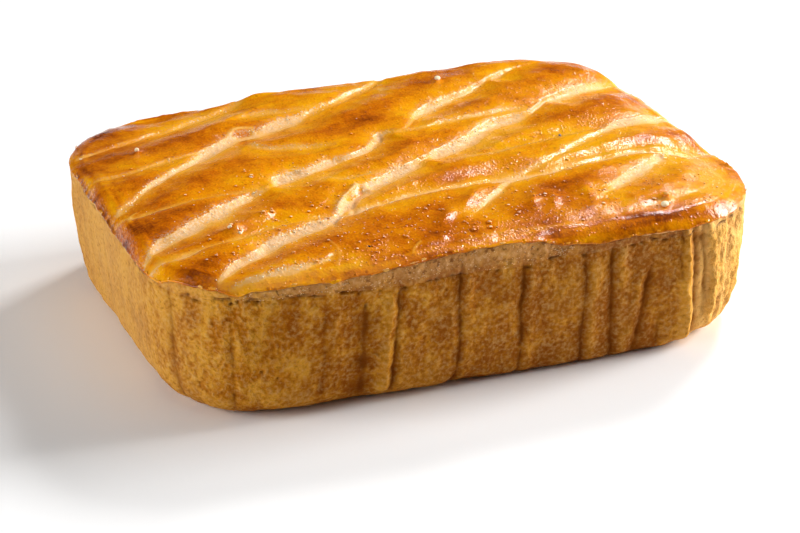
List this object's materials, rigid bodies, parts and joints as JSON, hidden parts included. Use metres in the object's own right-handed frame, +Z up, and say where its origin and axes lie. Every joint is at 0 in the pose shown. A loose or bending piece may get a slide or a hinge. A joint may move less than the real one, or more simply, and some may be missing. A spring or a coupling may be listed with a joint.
{
  "type": "pork pie",
  "caption": "Rectangular raised pie baked in a tray: a tall pastry case with rounded corners and a glazed, scored pastry lid.",
  "frame": {"origin": "middle of the flat base", "axes": "+X along the long side, +Y across towards the far side, +Z up"},
  "size_m": [0.16, 0.118, 0.0416],
  "materials": {
    "case_crust": "baked shortcrust pastry, dull, mottled golden brown, with pleats pressed in by the tray's lining",
    "lid_crust": "baked shortcrust pastry under a shiny egg-wash glaze, with pale unglazed scores"
  },
  "bodies": {
    "root": {"pastry_case": "case_crust", "pastry_lid": "lid_crust"}
  },
  "joints": []
}
